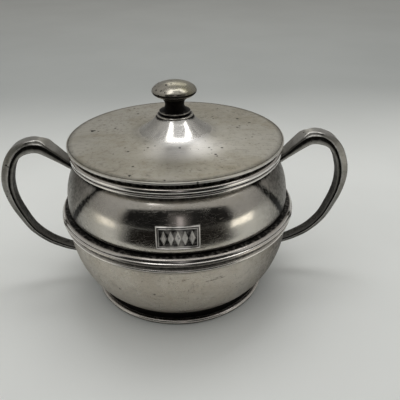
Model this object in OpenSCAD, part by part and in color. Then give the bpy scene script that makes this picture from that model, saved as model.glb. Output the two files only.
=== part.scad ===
// Covered sugar bowl in silver plate, with two looped handles and a lift-off lid.
// Millimetres. The origin is the centre of the foot, on the surface the bowl stands on.
// +Z is up, the handles lie along +X and -X, and the badge faces -Y.

/* [Bowl] */
// Radius of the lower body at the girdle
body_r = 45; // [44.5:0.1:45.3]
// Height at which the lower body starts to taper
taper_z = 32.5; // [32:0.1:33]
// Radius of the lower body where it turns under
heel_r = 36.2; // [35.5:0.1:37]
// Height of the turned-under heel
heel_z = 6.6; // [6.2:0.1:7]
// Radius of the neck
neck_r = 38.3; // [38:0.1:38.6]
// Height at which the shoulder meets the neck
neck_z = 56.8; // [56.4:0.1:57.2]
// Height of the mouth's top edge
mouth_z = 62.4; // [62.3:0.05:62.4]
// Thickness of the spun metal
wall = 1.2; // [1:0.1:1.3]

/* [Mouldings] */
// Largest radius of the girdle moulding
girdle_r = 47; // [46.8:0.1:47.3]
// Largest radius of the wire round the mouth
mouth_wire_r = 41.25; // [41:0.05:41.5]
// Largest radius of the bead under the mouth wire
neck_bead_r = 40.95; // [40.7:0.05:41]

/* [Foot] */
// Radius of the foot where it stands on the table
foot_r = 36.1; // [35.8:0.1:36.4]
// Height of the foot ring, up to the underside of the bowl
foot_h = 4.8; // [4.6:0.1:5]
// Radius of the opening inside the foot ring
foot_bore_r = 32.6; // [32:0.1:33]

/* [Handles] */
// Half of the width over both handles
reach = 69.85; // [69:0.05:71]
// Width of the flat outer face, as a share of the width over the side ridges
outer_share = 0.7; // [0.5:0.05:0.9]
// Width of the flat inner face, as a share of the width over the side ridges
inner_share = 0.78; // [0.5:0.02:0.94]
// How far in from the outer face the side ridge lies, as a share of the thickness
ridge_depth = 0.5; // [0.3:0.02:0.6]

/* [Badge] */
// Width of the badge on the shoulder
badge_w = 15; // [12:0.5:18]
// Height of the badge
badge_h = 8.4; // [7.5:0.1:9]
// Height of the middle of the badge
badge_z = 45.6; // [45.4:0.1:46]
// Width of the badge's raised frame
badge_frame = 0.7; // [0.5:0.1:1]
// Turn of the badge about the bowl's axis, in degrees, from the middle of the front
badge_turn = -0.7; // [-3:0.1:3]
// Number of lozenges in the badge's row
badge_lozenges = 5; // [3:1:7]

/* [Lid] */
// Largest radius of the lid, over its rim wire
lid_r = 41.66; // [41.5:0.02:41.8]
// Height of the lid's top surface at its edge
lid_edge_z = 65.1; // [65:0.05:65.2]
// Fall of the lid's cone for each millimetre of radius
lid_fall = 0.055; // [0.05:0.005:0.06]
// Radius at which the cone starts to rise into the centre
cone_r = 18; // [17.5:0.5:19]
// Height of the flat top that carries the knob
lid_top_z = 73; // [72.8:0.1:73]
// Thickness of the lid's metal
lid_wall = 1; // [0.8:0.1:1]
// Outer radius of the bezel that drops into the mouth
bezel_r = 36.5; // [36:0.1:36.6]
// Depth of the bezel below the mouth's top edge
bezel_drop = 4.2; // [3:0.1:5]

/* [Knob] */
// Largest radius of the knob
knob_r = 8.4; // [8:0.1:8.8]
// Height of the knob's widest line
knob_mid_z = 82.5; // [82.3:0.05:82.7]
// Height of the knob's flattened ball above that line
knob_up_h = 3.55; // [3.4:0.05:3.7]
// Depth of the ball below that line, if it were closed
knob_down_h = 2.9; // [2.7:0.05:3]
// Smallest radius of the knob's stem
stem_r = 3.6; // [3.3:0.1:4]
// Radius of the threaded stud
stud_r = 1.5; // [1.2:0.1:1.7]

/* [Hidden] */

$fn = 120;
silver = [0.72, 0.71, 0.68];
dark_silver = [0.42, 0.41, 0.40];
brass = [0.75, 0.62, 0.35];

seam_z = 36;             // top edge of the lower body, hidden behind the girdle
lap = 2.8;               // how far the upper body reaches down inside the lower body
sleeve_r = body_r - wall; // radius of the upper body inside the lower one
waist_z = 38.7;          // height at which the shoulder leaves the girdle
neck_inner_r = neck_r - wall;
heel_turn = 2.8;         // width over which the heel turns into the flat underside
floor_r = heel_r - heel_turn;
seat_gap = 0.05;         // between the mouth and the lid's flange
seat_z = mouth_z + seat_gap;
flange_r = 40;           // outer radius of the bezel's flange
flange_t = 0.8;
bezel_t = 0.9;
rim_t = 0.76;            // thickness of the rim wire, seen from above
shell_edge_r = lid_r - rim_t;
collar_r = 7;            // radius of the lid's flat top and of the collar on it
collar_top_z = lid_top_z + 1.2;
stud_bore_r = stud_r + 0.1; // holes the stud passes through
stud_low_z = lid_top_z - 4.6;
socket_z = knob_mid_z - 2.65; // where the stud ends inside the knob
washer_t = 0.7;
washer_low_z = lid_top_z - lid_wall - washer_t;
badge_plate = 0.25;      // thickness of the badge's ground
badge_relief = 0.6;      // height of its frame and lozenges
badge_margin = 2 * badge_frame; // from the badge's edge to the lozenges
cutter_depth = 8;        // of the prisms that cut the badge out of the shoulder's skin
cutter_y = -body_r - 3;  // where they start, in front of the bowl

// Point at t along the cubic curve with control points p
function bez(p, t) = pow(1 - t, 3) * p[0] + 3 * pow(1 - t, 2) * t * p[1]
                   + 3 * (1 - t) * t * t * p[2] + pow(t, 3) * p[3];
// Direction of that curve
function bez_dir(p, t) = (1 - t) * (1 - t) * (p[1] - p[0]) + 2 * (1 - t) * t * (p[2] - p[1])
                       + t * t * (p[3] - p[2]);
// Point at distance d to the left of the curve
function bez_side(p, t, d) = let (v = bez_dir(p, t)) bez(p, t) + d * [-v[1], v[0]] / norm(v);
// n + 1 points along the curve from t0 to 1, at distance d to its left
function curve(p, n, d = 0, t0 = 0) = [for (i = [0:n]) bez_side(p, t0 + (1 - t0) * i / n, d)];
function reversed(v) = [for (i = [len(v) - 1:-1:0]) v[i]];
// Points on an arc from angle a0 to a1
function arc(c, r, a0, a1, n) = [for (i = [0:n]) let (a = a0 + (a1 - a0) * i / n)
                                 c + r * [cos(a), sin(a)]];

// Height of the lid's cone at radius r, on top and underneath
function lid_z(r) = lid_edge_z + (shell_edge_r - r) * lid_fall;
function lid_under_z(r) = lid_z(r) - lid_wall * sqrt(1 + lid_fall * lid_fall);

// Outer curves of the bowl, as control points of radius and height
taper = [[body_r, taper_z], [body_r - 0.1, taper_z - 9.5],
         [heel_r + 5.8, heel_z + 6.4], [heel_r, heel_z]];
heel = [[heel_r, heel_z], [heel_r - 1.2, heel_z - 1.3], [heel_r - 1.6, foot_h], [floor_r, foot_h]];
shoulder = [[sleeve_r, waist_z], [sleeve_r + 0.7, waist_z + 5.7],
            [neck_r + 5.3, neck_z - 4.4], [neck_r, neck_z]];
// Rise of the lid from its cone to its flat top
trumpet = [[collar_r, lid_top_z], [collar_r + 2.6, lid_top_z - 3.4],
           [cone_r - 4.6, lid_z(cone_r - 4.6)], [cone_r, lid_z(cone_r)]];

module lathe(points) {
    rotate_extrude() polygon(points);
}

module ring_of(r0, r1, z0, z1) {
    lathe([[r0, z0], [r1, z0], [r1, z1], [r0, z1]]);
}

// ---------------------------------------------------------------- bowl

module lower_body() {
    color(silver) lathe(concat(
        [[0, foot_h]],
        reversed(curve(heel, 5)),
        reversed(curve(taper, 16)),
        [[body_r, seam_z], [sleeve_r, seam_z]],
        curve(taper, 16, -wall),
        curve(heel, 5, -wall, 0.15),
        [[0, foot_h + wall]]));
}

module upper_body() {
    color(silver) lathe(concat(
        [[sleeve_r, seam_z - lap]],
        curve(shoulder, 18),
        [[neck_r, mouth_z], [neck_inner_r, mouth_z]],
        reversed(curve(shoulder, 18, wall)),
        [[sleeve_r - wall, seam_z - lap]]));
}

// Soldered ring over the seam: a band, a crease, a bead, a groove and a smaller bead
module girdle_wire() {
    bead = 0.9;              // radius of each bead
    small_bead = 0.6;
    color(silver) lathe(concat(
        [[sleeve_r, waist_z]],
        arc([girdle_r - 2.1, waist_z - 1.7], 1.65, 85, 18, 6),
        arc([girdle_r - bead, seam_z + 0.35], bead, 62, -72, 10),
        [[girdle_r - 1.2, seam_z - 1.3]],
        arc([girdle_r - 0.7 - small_bead, seam_z - 2.6], small_bead, 68, -75, 8),
        [[body_r, taper_z + 0.2], [body_r, seam_z], [sleeve_r, seam_z]]));
}

module mouth_wire() {
    r = 1.15;
    color(silver) lathe(concat(
        [[neck_r, mouth_z - 2 * r]],
        arc([mouth_wire_r - r, mouth_z - r], r, -90, 90, 14),
        [[neck_r, mouth_z]]));
}

module neck_bead() {
    top_z = mouth_z - 2.3;
    r = 0.65;
    color(silver) lathe(concat(
        [[neck_r, top_z - 2 * r - 0.05]],
        arc([neck_bead_r - r, top_z - r - 0.05], r, -90, 80, 10),
        [[neck_bead_r - r - 0.3, top_z], [neck_r, top_z]]));
}

module foot_ring() {
    lip_top = [foot_r - 0.9, 2];
    lip = [[foot_r, 0.5], [foot_r + 0.1, 1.1], [foot_r - 0.2, 1.7], lip_top];
    cove = [lip_top, [foot_r - 2.9, 2.5], [foot_r - 3.1, 3.6], [foot_r - 2.7, foot_h]];
    color(silver) lathe(concat(
        [[foot_bore_r, 0], [foot_r - 0.3, 0]],
        curve(lip, 5),
        curve(cove, 6, 0, 0.15),
        [[foot_bore_r - 0.9, foot_h], [foot_bore_r - 0.9, foot_h - 1.2]]));
}

// ---------------------------------------------------------------- handles

// Stations of the handle's middle line, from the shoulder out, over and down to the lower body:
// inset from the full reach, height, thickness in the plane of the handle, and half width over
// the side ridges
handle_stations = [
    [29.1, 53.4, 2.6, 2.9], [25.6, 56.0, 2.9, 3.1], [21.1, 59.7, 4.0, 3.5],
    [16.8, 62.5, 5.0, 3.7], [12.1, 62.2, 4.9, 3.4], [7.65, 59.95, 4.7, 3.1],
    [4.2, 54.9, 4.5, 2.9], [2.25, 47.4, 4.4, 2.8], [2.85, 39.6, 3.8, 2.7],
    [5.4, 32.3, 3.3, 2.6], [8.85, 25.55, 2.9, 2.5], [14.25, 20.1, 2.7, 2.4],
    [20.3, 16.7, 2.6, 2.35], [25.0, 15.0, 2.4, 2.3], [28.2, 14.2, 2.3, 2.3]];
handle_steps = 4;        // rings between two stations
top_root_t = 0.8;        // where on the shoulder curve the handle is soldered
low_root_t = 0.62;       // where on the taper curve it is soldered

// Catmull-Rom curve through the stations, s from 0 to their number less one
function station(i) = handle_stations[max(0, min(len(handle_stations) - 1, i))];
function along(s) = let (i = min(floor(s), len(handle_stations) - 2), t = s - i,
                         a = station(i - 1), b = station(i), c = station(i + 1), d = station(i + 2))
    0.5 * ((2 * b) + (c - a) * t + (2 * a - 5 * b + 4 * c - d) * t * t
           + (3 * b - a - 3 * c + d) * t * t * t);
function heading(s) = let (h = 0.01, e = len(handle_stations) - 1,
                           v = along(min(s + h, e)) - along(max(s - h, 0)))
    [-v[0], v[1]] / norm([v[0], v[1]]);
// Point q moved along direction h to the line through a at right angles to n
function slid(q, h, a, n) = q + h * ((a - q) * n) / (h * n);
// The same, for a handle's end: q ends halfway into the bowl's wall where the handle starts
// (s = 0) or stops (s = last), and stays where it is in between
function rooted(q, h, s) =
    s == 0 ? slid(q, h, bez_side(shoulder, top_root_t, wall / 2), square_to(shoulder, top_root_t))
    : s == len(handle_stations) - 1
    ? slid(q, h, bez_side(taper, low_root_t, -wall / 2), square_to(taper, low_root_t))
    : q;
function square_to(p, t) = let (v = bez_dir(p, t)) [-v[1], v[0]];
// Six corners of the handle's section: outer flat, side ridges, inner flat
function section(s) = let (p = along(s), h = heading(s), out = [-h[1], h[0]],
                           mid = [reach - p[0], p[1]],
                           outer = rooted(mid + out * p[2] / 2, h, s),
                           ridge = rooted(mid + out * p[2] * (0.5 - ridge_depth), h, s),
                           inner = rooted(mid - out * p[2] / 2, h, s), w = p[3])
    [[outer[0], -w * outer_share, outer[1]], [outer[0], w * outer_share, outer[1]],
     [ridge[0], w, ridge[1]], [inner[0], w * inner_share, inner[1]],
     [inner[0], -w * inner_share, inner[1]], [ridge[0], -w, ridge[1]]];

module handle() {
    rings = (len(handle_stations) - 1) * handle_steps;
    points = [for (i = [0:rings]) each section(i / handle_steps)];
    sides = [for (i = [0:rings - 1], j = [0:5])
             [6 * i + j, 6 * i + (j + 1) % 6, 6 * i + 6 + (j + 1) % 6, 6 * i + 6 + j]];
    start = [[5, 4, 3, 2, 1, 0]];
    end = [[for (j = [0:5]) 6 * rings + j]];
    polyhedron(points, concat(start, sides, end), convexity = 6);
}

module handle_right() {
    color(dark_silver) handle();
}

module handle_left() {
    color(dark_silver) mirror([1, 0, 0]) handle();
}

// ---------------------------------------------------------------- badge

// Skin of a given thickness over the shoulder
module shoulder_skin(thickness) {
    lathe(concat(curve(shoulder, 18), reversed(curve(shoulder, 18, -thickness))));
}

// Upright prism through the front of the shoulder, badge_w and badge_h less the inset on each side
module badge_window(inset) {
    w = badge_w - 2 * inset;
    h = badge_h - 2 * inset;
    translate([-w / 2, cutter_y, badge_z - h / 2]) cube([w, cutter_depth, h]);
}

module lozenge(w, h) {
    translate([0, cutter_y + cutter_depth, 0]) rotate([90, 0, 0]) linear_extrude(cutter_depth)
        polygon([[-w / 2, 0], [0, -h / 2], [w / 2, 0], [0, h / 2]]);
}

module badge() {
    pitch = (badge_w - 2 * badge_margin) / badge_lozenges;
    lozenge_w = 0.9 * pitch;
    color(silver) rotate([0, 0, badge_turn]) {
        intersection() {
            shoulder_skin(badge_plate);
            badge_window(0);
        }
        intersection() {
            shoulder_skin(badge_relief);
            union() {
                difference() {
                    badge_window(0);
                    badge_window(badge_frame);
                }
                for (i = [0:badge_lozenges - 1])
                    translate([(i - (badge_lozenges - 1) / 2) * pitch, 0, badge_z])
                        lozenge(lozenge_w, badge_h - 2 * badge_margin);
            }
        }
    }
}

// ---------------------------------------------------------------- lid

module lid_shell() {
    plate_r = collar_r - 0.9;
    color(silver) lathe(concat(
        [[stud_bore_r, lid_top_z]],
        curve(trumpet, 18),
        [[shell_edge_r, lid_z(shell_edge_r)], [shell_edge_r, lid_under_z(shell_edge_r)]],
        reversed(curve(trumpet, 16, -lid_wall, 0.12)),
        [[plate_r, lid_top_z - lid_wall], [stud_bore_r, lid_top_z - lid_wall]]));
}

module lid_rim_wire() {
    top_z = lid_z(shell_edge_r);
    depth = 1.1;
    r = 0.4;
    color(silver) lathe(concat(
        [[shell_edge_r, top_z - depth], [lid_r - r, top_z - depth]],
        arc([lid_r - r, top_z - depth + r], r, -90, 0, 4),
        arc([lid_r - r, top_z - r - 0.1], r, 0, 75, 4),
        [[shell_edge_r, top_z]]));
}

// Strip with a Z-shaped section: soldered under the lid, resting on the mouth, dropping into it
module lid_bezel() {
    upright_r = flange_r - bezel_t;
    color(silver) lathe([
        [bezel_r - bezel_t, mouth_z - bezel_drop], [bezel_r, mouth_z - bezel_drop],
        [bezel_r, seat_z], [flange_r, seat_z], [flange_r, lid_under_z(flange_r)],
        [upright_r, lid_under_z(upright_r)], [upright_r, seat_z + flange_t],
        [bezel_r - bezel_t, seat_z + flange_t]]);
}

// ---------------------------------------------------------------- knob

module knob() {
    base_z = collar_top_z;
    base_r = 6;
    foot_edge_z = base_z + 0.5;
    under_r = 6.2;
    under_z = knob_mid_z - knob_down_h * sqrt(1 - pow(under_r / knob_r, 2));
    stem = [[base_r - 0.3, foot_edge_z + 0.4], [stem_r - 0.6, foot_edge_z + 0.9],
            [stem_r - 0.9, under_z - 1.4], [under_r, under_z]];
    start = -acos(under_r / knob_r);
    ball = [for (i = [1:16]) let (a = start + (90 - start) * i / 16, h = a < 0 ? knob_down_h : knob_up_h)
            [knob_r * cos(a), knob_mid_z + h * sin(a)]];
    color(silver) lathe(concat(
        [[stud_r, base_z], [base_r - 0.4, base_z]],
        [[base_r, foot_edge_z - 0.1], [base_r, foot_edge_z + 0.1]],
        curve(stem, 12),
        ball,
        [[0, socket_z], [stud_r, socket_z]]));
}

module knob_collar() {
    step_z = lid_top_z + 0.75;
    r = 0.35;
    color(silver) lathe(concat(
        [[stud_bore_r, lid_top_z], [collar_r - 0.2, lid_top_z]],
        arc([collar_r - r, step_z - r - 0.03], r, -60, 85, 6),
        [[collar_r - 2, step_z], [collar_r - 2.1, collar_top_z], [stud_bore_r, collar_top_z]]));
}

module knob_stud() {
    color(brass) translate([0, 0, stud_low_z]) cylinder(r = stud_r, h = socket_z - stud_low_z);
}

module knob_washer() {
    color(brass) ring_of(stud_bore_r, 4.2, washer_low_z, washer_low_z + washer_t);
}

module knob_nut() {
    thickness = 2.2;
    color(brass) translate([0, 0, washer_low_z - thickness]) difference() {
        cylinder(r = 3.2, h = thickness, $fn = 6);
        translate([0, 0, -1]) cylinder(r = stud_r, h = thickness + 2);
    }
}

lower_body();
upper_body();
girdle_wire();
mouth_wire();
neck_bead();
foot_ring();
handle_left();
handle_right();
badge();
lid_shell();
lid_rim_wire();
lid_bezel();
knob();
knob_collar();
knob_stud();
knob_washer();
knob_nut();
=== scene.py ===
"""Covered sugar bowl in tarnished silver plate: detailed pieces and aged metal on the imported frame."""

import math

import bpy
import numpy as np
from mathutils import Matrix, Vector, noise


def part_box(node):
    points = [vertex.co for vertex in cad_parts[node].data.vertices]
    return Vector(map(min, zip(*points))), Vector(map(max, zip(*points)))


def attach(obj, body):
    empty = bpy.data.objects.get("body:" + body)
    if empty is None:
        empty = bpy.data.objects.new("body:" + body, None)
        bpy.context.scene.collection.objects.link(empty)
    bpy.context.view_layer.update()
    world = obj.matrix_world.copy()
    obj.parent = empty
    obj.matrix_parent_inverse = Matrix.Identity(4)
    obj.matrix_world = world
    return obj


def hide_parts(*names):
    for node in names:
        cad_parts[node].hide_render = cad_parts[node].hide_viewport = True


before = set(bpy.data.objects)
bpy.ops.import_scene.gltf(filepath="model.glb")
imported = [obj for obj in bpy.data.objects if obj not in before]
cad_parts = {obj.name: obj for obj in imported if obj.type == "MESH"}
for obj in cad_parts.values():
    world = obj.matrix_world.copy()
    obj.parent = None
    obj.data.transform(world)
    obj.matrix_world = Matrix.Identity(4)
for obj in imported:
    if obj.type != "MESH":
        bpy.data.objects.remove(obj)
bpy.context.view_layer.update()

MM = 0.001
SCENE = bpy.context.scene


def new_object(name, data):
    """A new object in the scene."""
    thing = bpy.data.objects.new(name, data)
    SCENE.collection.objects.link(thing)
    return thing


def limited(value):
    """value, but at least 0 and at most 1."""
    return max(0.0, min(1.0, value))


def eased(value):
    """Smooth step from 0 to 1 while value goes from 0 to 1."""
    value = limited(value)
    return value * value * (3 - 2 * value)


def near(value, target, spread):
    """1 at target, falling smoothly to 0 at spread away from it."""
    x = abs(value - target) / spread
    return 0.0 if x >= 1 else (1 - x * x) ** 2


def grid_faces(columns, rows):
    """Quads over a grid of vertices that lie row after row."""
    row = columns + 1
    return [(j * row + i, j * row + i + 1, (j + 1) * row + i + 1, (j + 1) * row + i)
            for j in range(rows) for i in range(columns)]


# -------- camera

CAMERA_BACK = 179.3 * MM
CAMERA_UP = 135.1 * MM
CAMERA_LENS = 44.08
CAMERA_YAW = 0.0509
CAMERA_PITCH = 0.5067
CAMERA_ROLL = -0.012


def make_camera():
    """Camera in front of the bowl and above it, looking down at it."""
    data = bpy.data.cameras.new("camera")
    data.lens = CAMERA_LENS
    data.clip_start = 1 * MM
    data.clip_end = 20
    camera = new_object("camera", data)
    forward = Vector((math.sin(CAMERA_YAW) * math.cos(CAMERA_PITCH),
                      math.cos(CAMERA_YAW) * math.cos(CAMERA_PITCH),
                      -math.sin(CAMERA_PITCH)))
    level = Vector((math.cos(CAMERA_YAW), -math.sin(CAMERA_YAW), 0))
    upright = level.cross(forward)
    right = level * math.cos(CAMERA_ROLL) + upright * math.sin(CAMERA_ROLL)
    up = upright * math.cos(CAMERA_ROLL) - level * math.sin(CAMERA_ROLL)
    turn = Matrix((right, up, -forward)).transposed().to_4x4()
    camera.matrix_world = Matrix.Translation((0, -CAMERA_BACK, CAMERA_UP)) @ turn
    SCENE.camera = camera


make_camera()

# -------- node helpers


class Nodes:
    """Short names for building a node tree."""

    def __init__(self, tree):
        self.tree = tree
        tree.nodes.clear()

    def add(self, kind, inputs=None, **settings):
        """A node with its settings, and its input sockets by name or number."""
        node = self.tree.nodes.new(kind)
        for name, value in settings.items():
            setattr(node, name, value)
        for name, value in (inputs or {}).items():
            self.put(value, node.inputs[name])
        return node

    def put(self, value, socket):
        """Links an output, or sets a number or colour, on an input socket."""
        if isinstance(value, bpy.types.NodeSocket):
            self.tree.links.new(value, socket)
        else:
            socket.default_value = value

    def math(self, operation, a, b=0.0, c=0.0, clamp=False):
        inputs = {0: a, 1: b, 2: c}
        return self.add("ShaderNodeMath", inputs, operation=operation, use_clamp=clamp).outputs[0]

    def times(self, a, b, clamp=False):
        return self.math("MULTIPLY", a, b, clamp=clamp)

    def minus(self, a, b, clamp=False):
        return self.math("SUBTRACT", a, b, clamp=clamp)

    def position(self):
        """Coordinates in the object's own space, in metres."""
        return self.add("ShaderNodeTexCoord").outputs["Object"]

    def axes(self, coords):
        """The coordinates' x, y and z."""
        return self.add("ShaderNodeSeparateXYZ", {"Vector": coords}).outputs

    def turned(self, coords, angles=(0, 0, 0), scale=(1, 1, 1), shift=(0, 0, 0)):
        """Coordinates shifted, turned and scaled."""
        inputs = {"Vector": coords, "Location": shift, "Rotation": angles, "Scale": scale}
        return self.add("ShaderNodeMapping", inputs).outputs[0]

    def noise(self, coords, scale, detail=2.0, roughness=0.5, distortion=0.0):
        inputs = {"Vector": coords, "Scale": scale, "Detail": detail, "Roughness": roughness,
                  "Distortion": distortion}
        return self.add("ShaderNodeTexNoise", inputs).outputs["Fac"]

    def cells(self, coords, scale):
        """Outputs of a loose grid of cells: Distance from a cell's middle, and the cell's own Color."""
        return self.add("ShaderNodeTexVoronoi", {"Vector": coords, "Scale": scale}, feature="F1").outputs

    def ramp(self, value, low, high, out_low=0.0, out_high=1.0):
        """Smooth step of value from low..high to out_low..out_high."""
        inputs = {"Value": value, "From Min": low, "From Max": high, "To Min": out_low, "To Max": out_high}
        return self.add("ShaderNodeMapRange", inputs, interpolation_type="SMOOTHSTEP").outputs["Result"]

    def mix(self, share, a, b):
        """Mix of two colours."""
        node = self.add("ShaderNodeMix", {"Factor": share}, data_type="RGBA")
        for value, socket in ((a, node.inputs[6]), (b, node.inputs[7])):
            self.put(value if isinstance(value, bpy.types.NodeSocket) else (*value, 1.0), socket)
        return node.outputs[2]

    def channel(self, colour):
        """Red channel of a colour."""
        return self.add("ShaderNodeSeparateColor", {0: colour}).outputs[0]

    def attribute(self, name):
        return self.add("ShaderNodeAttribute", attribute_name=name).outputs["Fac"]

    def bump(self, height, distance, strength=1.0, normal=None):
        inputs = {"Strength": strength, "Distance": distance, "Height": height}
        if normal is not None:
            inputs["Normal"] = normal
        return self.add("ShaderNodeBump", inputs).outputs[0]

    def finish(self, colour, roughness, normal=None, metallic=0.0, specular=0.5):
        """Ends the tree of a material with a principled shader."""
        inputs = {"Base Color": colour, "Roughness": roughness, "Metallic": metallic,
                  "Specular IOR Level": specular}
        if normal is not None:
            inputs["Normal"] = normal
        self.output(self.add("ShaderNodeBsdfPrincipled", inputs))

    def output(self, shader, kind="ShaderNodeOutputMaterial"):
        self.add(kind, {"Surface": shader.outputs[0]})


def new_material(name):
    """A material and the helper for its empty node tree."""
    material = bpy.data.materials.new(name)
    material.use_nodes = True
    return material, Nodes(material.node_tree)


# -------- materials

WARM_TARNISH = (0.50, 0.45, 0.36)
DARK_TARNISH = (0.075, 0.068, 0.058)
# Bright metal of worn edges and of painted highlights
BRIGHT_WEAR_AND_HIGHLIGHT = (0.92, 0.90, 0.87)
# Black of stains, and of tarnish with painted shade in crevices
SHADE_AND_STAIN_BLACK = (0.012, 0.011, 0.010)
BRASS = (0.62, 0.47, 0.22)
BROWN_BRASS = (0.20, 0.13, 0.06)

# How many patterns of each kind of ageing, and of the unevenness of the painted shade, fit in a metre
CLOUD_SCALE = 38.0
SPECKLE_SCALE = 210.0
SHADE_AND_SOOT_SCALE = 760.0
DULL_SCALE = 95.0
FRECKLE_SCALE = 620.0
FRECKLE_PATCH_SCALE = 70.0
ROUGHNESS_SCALE = 60.0
WAVE_SCALE = 130.0
GRAIN_SCALE = 1600.0
DING_SCALE = 85.0
# Directions, scale and share of the surface of each set of scratches
SCRATCH_SETS = (((0.2, 0.4, 0.5), 1500.0, 0.014), ((1.1, 0.3, 2.1), 1900.0, 0.012),
                ((0.5, 1.9, 1.2), 1200.0, 0.010), ((2.4, 0.8, 0.3), 620.0, 0.009))
# Scale, share of the cells that have a stain, and radius of the large and of the small stains
STAIN_SETS = ((95.0, 0.16, 0.12), (240.0, 0.10, 0.16))
# How much each kind of ageing, and the painted shade in crevices, adds to the roughness
ROUGHENED_BY = {"film": 0.08, "freckles": 0.12, "marks": 0.22, "pit": 0.35, "dull": 0.18, "soot_and_painted_shade": 0.40}


def hairlines(n, coords, angles, scale, share):
    """Thin straight scratches: stretched noise, cut to its narrow crests. Returns 0 to 1."""
    long_way = 0.035
    stretched = n.turned(coords, angles=angles, scale=(scale * long_way, scale, scale))
    crest = n.math("ABSOLUTE", n.minus(n.noise(stretched, 1.0, 1.0), 0.5))
    line = n.ramp(crest, 0.0, share, 1.0, 0.0)
    patches = n.ramp(n.noise(n.turned(coords, shift=(scale, 0, 0)), scale * 0.12, 1.0), 0.46, 0.62)
    return n.times(line, patches)


def spots(n, coords, scale, share, radius):
    """Round marks on a share of the cells of a loose grid: 1 in the middle of a mark, 0 outside."""
    cell = n.cells(coords, scale)
    chosen = n.math("LESS_THAN", n.channel(cell["Color"]), share)
    edge = n.ramp(n.noise(coords, scale * 9.0, 2.0), 0.3, 0.7, radius * 0.55, radius * 1.3)
    inside = n.ramp(n.math("DIVIDE", cell["Distance"], edge), 0.55, 1.0, 1.0, 0.0)
    return n.times(inside, chosen)


def gouge(n, coords, start, end, width):
    """Dark scratch over the front, from start to end, each x and z: 1 along it, 0 beside it."""
    x, y, z = n.axes(coords)
    slope = (end[1] - start[1]) / (end[0] - start[0])
    course = n.math("MULTIPLY_ADD", n.minus(x, start[0]), slope, start[1])
    waver = n.times(n.minus(n.noise(coords, 500.0, 2.0), 0.5), 2.2 * width)
    off = n.math("ABSOLUTE", n.minus(n.minus(z, course), waver))
    line = n.ramp(off, 0.3 * width, width, 1.0, 0.0)
    fade_in = n.ramp(x, start[0], start[0] + 1.5 * MM)
    fade_out = n.ramp(x, end[0] - 1 * MM, end[0], 1.0, 0.0)
    broken = n.ramp(n.noise(coords, 900.0, 2.0), 0.35, 0.55)
    front = n.math("LESS_THAN", y, 0.0)
    for limit in (fade_in, fade_out, broken, front):
        line = n.times(line, limit)
    return line


def silver_ageing(n, coords, warm, pits, pit_scale, scratches, veil, mottle):
    """Masks of what ages the metal, and of the painted shade in crevices, each 0 to 1."""
    wear_and_painted_highlight = n.attribute("wear_and_painted_highlight")

    clouds = n.ramp(n.noise(coords, CLOUD_SCALE, 5.0, 0.62, 0.6), 0.36, 0.70)
    speckle = n.ramp(n.noise(coords, SPECKLE_SCALE, 4.0, 0.6), 0.48, 0.78)
    film = n.math("ADD", n.times(clouds, warm), n.times(speckle, warm * 0.6), clamp=True)

    pit_size = n.ramp(n.noise(coords, pit_scale * 0.22, 2.0), 0.56 - 0.14 * pits, 0.80, 0.0, 0.32)
    pit_depth = n.minus(pit_size, n.cells(coords, pit_scale)["Distance"])
    pit = n.times(n.ramp(pit_depth, -0.05, 0.08), pits)

    marks = 0.0
    for angles, scale, share in SCRATCH_SETS:
        marks = n.math("MAXIMUM", marks, hairlines(n, coords, angles, scale, share))
    marks = n.times(marks, scratches)

    uneven = n.ramp(n.noise(coords, SHADE_AND_SOOT_SCALE, 4.0, 0.65), 0.25, 0.70, 1.25, 0.80)
    # Painted shade, with tarnish, made uneven: it blackens crevices and other shaded places
    soot_and_painted_shade = n.times(n.attribute("grime_and_painted_shade"), uneven)
    soot_and_painted_shade = n.minus(soot_and_painted_shade, n.times(wear_and_painted_highlight, 0.6))
    soot_and_painted_shade = n.math("MAXIMUM", soot_and_painted_shade, 0.0, clamp=True)

    dull = n.times(n.ramp(n.noise(coords, DULL_SCALE, 5.0, 0.66), 0.30, 0.72), veil)
    dull = n.times(dull, n.minus(1.0, wear_and_painted_highlight), clamp=True)

    freckles = n.times(n.ramp(n.noise(coords, FRECKLE_SCALE, 5.0, 0.72), 0.50, 0.68), mottle)
    patches = n.ramp(n.noise(coords, FRECKLE_PATCH_SCALE, 3.0, 0.6), 0.35, 0.65, 0.35, 1.0)
    freckles = n.times(freckles, patches)
    return {"film": film, "freckles": freckles, "marks": marks, "pit": pit, "dull": dull, "soot_and_painted_shade": soot_and_painted_shade}


def silver_colour(n, coords, age, base, tarnish, blotches, gouges):
    """Colour of the aged metal, with painted shade in the crevices and painted highlights where the mesh asks
    for them. The stains and gouges made here are added to the pits in age.
    """
    colour = n.mix(age["film"], base, tarnish)
    colour = n.mix(n.times(age["freckles"], 0.55), colour, DARK_TARNISH)
    colour = n.mix(age["dull"], colour, DARK_TARNISH)
    # Worn edges and painted highlights brighten the metal
    colour = n.mix(n.times(n.attribute("wear_and_painted_highlight"), 0.60), colour, BRIGHT_WEAR_AND_HIGHLIGHT)
    colour = n.mix(n.times(n.attribute("polish"), 0.45), colour, BRIGHT_WEAR_AND_HIGHLIGHT)
    colour = n.mix(age["pit"], colour, DARK_TARNISH)
    colour = n.mix(n.times(age["marks"], 0.4), colour, DARK_TARNISH)
    if blotches:
        large, small = (spots(n, coords, *stains) for stains in STAIN_SETS)
        stain = n.times(n.math("MAXIMUM", large, small), blotches)
        colour = n.mix(stain, colour, SHADE_AND_STAIN_BLACK)
        age["pit"] = n.math("MAXIMUM", age["pit"], stain)
    for start, end, width in gouges:
        cut = gouge(n, n.position(), start, end, width)
        colour = n.mix(n.times(cut, 0.8), colour, DARK_TARNISH)
        age["pit"] = n.math("MAXIMUM", age["pit"], cut)
    # The painted shade and tarnish turn the crevices black
    return n.mix(age["soot_and_painted_shade"], colour, SHADE_AND_STAIN_BLACK)


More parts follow.
